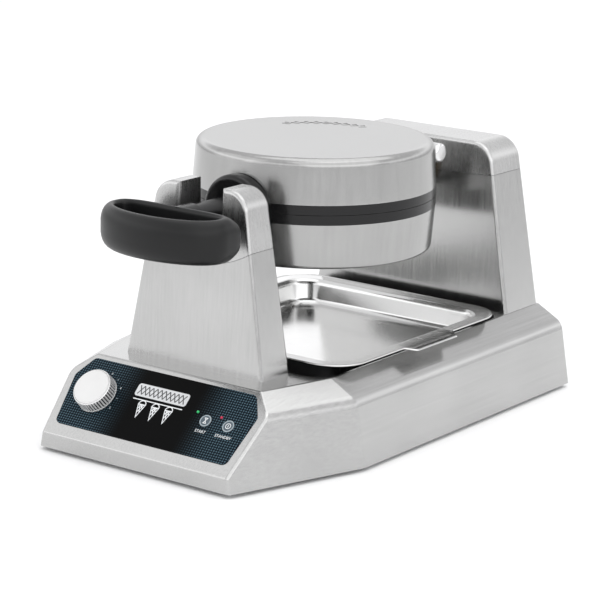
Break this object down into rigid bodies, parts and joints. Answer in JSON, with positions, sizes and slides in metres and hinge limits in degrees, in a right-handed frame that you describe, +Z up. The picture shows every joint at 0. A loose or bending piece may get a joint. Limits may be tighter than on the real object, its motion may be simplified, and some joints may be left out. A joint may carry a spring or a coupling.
{
  "type": "waffle cone maker",
  "caption": "Turn-over round waffle cone maker: hinged head between two posts, ring handle, sloping control panel and lift-out drip tray.",
  "frame": {"origin": "middle of the outer box, on the surface that the feet stand on", "axes": "+Z up, +Y to the back of the machine along the head's turning axis, +X to the right of someone in front of it"},
  "size_m": [0.2632, 0.4208, 0.2254],
  "materials": {
    "brushed_steel": "brushed stainless sheet",
    "inner_steel": "black enamelled sheet",
    "plain_sheet": "plain zinc-coated sheet",
    "cast_aluminium": "satin casting",
    "black_rim": "moulded heat-resistant plastic",
    "handle_black": "soft-touch moulded plastic",
    "tray_steel": "polished stainless sheet",
    "panel_film": "printed film with a fine woven look",
    "knob_metal": "bright fluted metal",
    "knob_white": "satin white",
    "key_plastic": "moulded",
    "lamp_green": "clear coloured lens",
    "lamp_red": "clear coloured lens",
    "rubber_foot": "moulded",
    "fastener_zinc": "zinc plated",
    "hinge_steel": "ground and polished",
    "plate_iron": "seasoned cast cooking plate",
    "element_sheath": "oxidised sheath",
    "bush_bronze": "sintered",
    "board_green": "laminate",
    "black_part": "moulded",
    "terminal_white": "nylon",
    "transformer_core": "varnished laminations"
  },
  "bodies": {
    "base": {"base_housing": "brushed_steel", "bottom_pan": "plain_sheet", "foot_front_left": "rubber_foot", "foot_front_right": "rubber_foot", "foot_rear_left": "rubber_foot", "foot_rear_right": "rubber_foot", "base_screws": "fastener_zinc", "pan_blocks": "plain_sheet", "tray_well": "inner_steel", "control_overlay": "panel_film", "control_board": "board_green", "board_standoffs": "black_part", "timer_pot": "black_part", "start_switch": "black_part", "standby_switch": "black_part", "led_ready": "lamp_green", "led_power": "lamp_red", "buzzer": "black_part", "relay": "black_part", "transformer": "transformer_core", "terminal_block": "terminal_white", "cord_gland": "black_part", "gland_locknut": "fastener_zinc", "front_post": "brushed_steel", "front_yoke": "cast_aluminium", "front_saddle": "black_rim", "front_post_frame": "plain_sheet", "yoke_screws": "fastener_zinc", "rear_post": "brushed_steel", "rear_cap": "cast_aluminium", "rear_post_frame": "plain_sheet", "bearing_block": "plain_sheet", "bearing_screws": "fastener_zinc", "rear_bush": "bush_bronze"},
    "head": {"lower_shell": "cast_aluminium", "lower_rim": "black_rim", "lower_plate": "plate_iron", "lower_element": "element_sheath", "lower_thermostat": "element_sheath", "lower_studs": "fastener_zinc", "hinge_bracket": "cast_aluminium", "rear_spindle": "hinge_steel", "spindle_ring": "fastener_zinc", "hinge_pin": "hinge_steel"},
    "lid": {"upper_shell": "cast_aluminium", "upper_rim": "black_rim", "upper_plate": "plate_iron", "upper_element": "element_sheath", "upper_thermostat": "element_sheath", "upper_studs": "fastener_zinc", "hinge_arms": "cast_aluminium", "handle_neck": "black_rim", "handle_grip": "handle_black", "handle_screw": "fastener_zinc"},
    "knob": {"knob_body": "knob_metal", "knob_cap": "knob_white", "knob_shaft": "hinge_steel"},
    "start_key": {"start_key": "key_plastic"},
    "standby_key": {"standby_key": "key_plastic"},
    "tray": {"drip_tray": "tray_steel"}
  },
  "joints": [
    {"name": "head_turn", "type": "hinge", "parent": "base", "child": "head", "pos_m": [0, 0.0137, 0.1822], "axis": [0, 1, 0], "range_deg": [-180, 0]},
    {"name": "lid_open", "type": "hinge", "parent": "head", "child": "lid", "pos_m": [0, 0.1224, 0.2025], "axis": [-1, 0, 0], "range_deg": [0, 100]},
    {"name": "knob_turn", "type": "hinge", "parent": "base", "child": "knob", "pos_m": [-0.0586, -0.18127, 0.04395], "axis": [0, -0.7038, 0.7104], "range_deg": [-135, 135]},
    {"name": "start_press", "type": "slide", "parent": "base", "child": "start_key", "axis": [0, 0.7038, -0.7104], "range_m": [0, 0.0008], "stiffness_N_per_m": 1200},
    {"name": "standby_press", "type": "slide", "parent": "base", "child": "standby_key", "axis": [0, 0.7038, -0.7104], "range_m": [0, 0.0008], "stiffness_N_per_m": 1200},
    {"name": "tray_lift", "type": "slide", "parent": "base", "child": "tray", "axis": [0, 0, 1], "range_m": [0, 0.03]}
  ]
}
